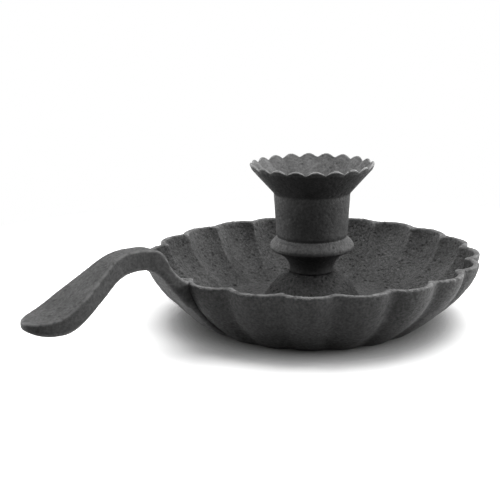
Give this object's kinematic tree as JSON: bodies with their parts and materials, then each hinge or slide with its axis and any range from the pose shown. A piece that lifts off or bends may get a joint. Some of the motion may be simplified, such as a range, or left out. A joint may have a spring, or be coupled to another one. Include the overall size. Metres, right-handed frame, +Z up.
{
  "type": "chamberstick",
  "caption": "Low cast-iron chamberstick: fluted drip dish with scalloped rim, screwed-on candle cup with petal lip, and an arched open hook handle on one side.",
  "frame": {"origin": "on the dish's axis, in the plane of the foot ring that stands on the table", "axes": "+Z up along the candle bore, the handle points to -X, the dish and handle are mirror-symmetric about the XZ plane"},
  "size_m": [0.1898, 0.1288, 0.0618],
  "materials": {
    "cast_iron_dish": "matt black, sand-cast grain",
    "cast_iron_cup": "matt black, sand-cast grain",
    "cast_iron_handle": "matt black, sand-cast grain, smoother on top",
    "screw_steel": "plain turned steel",
    "black_screw": "blackened steel"
  },
  "bodies": {
    "root": {"drip_dish": "cast_iron_dish", "candle_cup": "cast_iron_cup", "handle": "cast_iron_handle", "cup_screw": "screw_steel", "plain_washer": "screw_steel", "spring_washer": "screw_steel", "handle_screw_upper": "black_screw", "handle_screw_lower": "black_screw"}
  },
  "joints": []
}
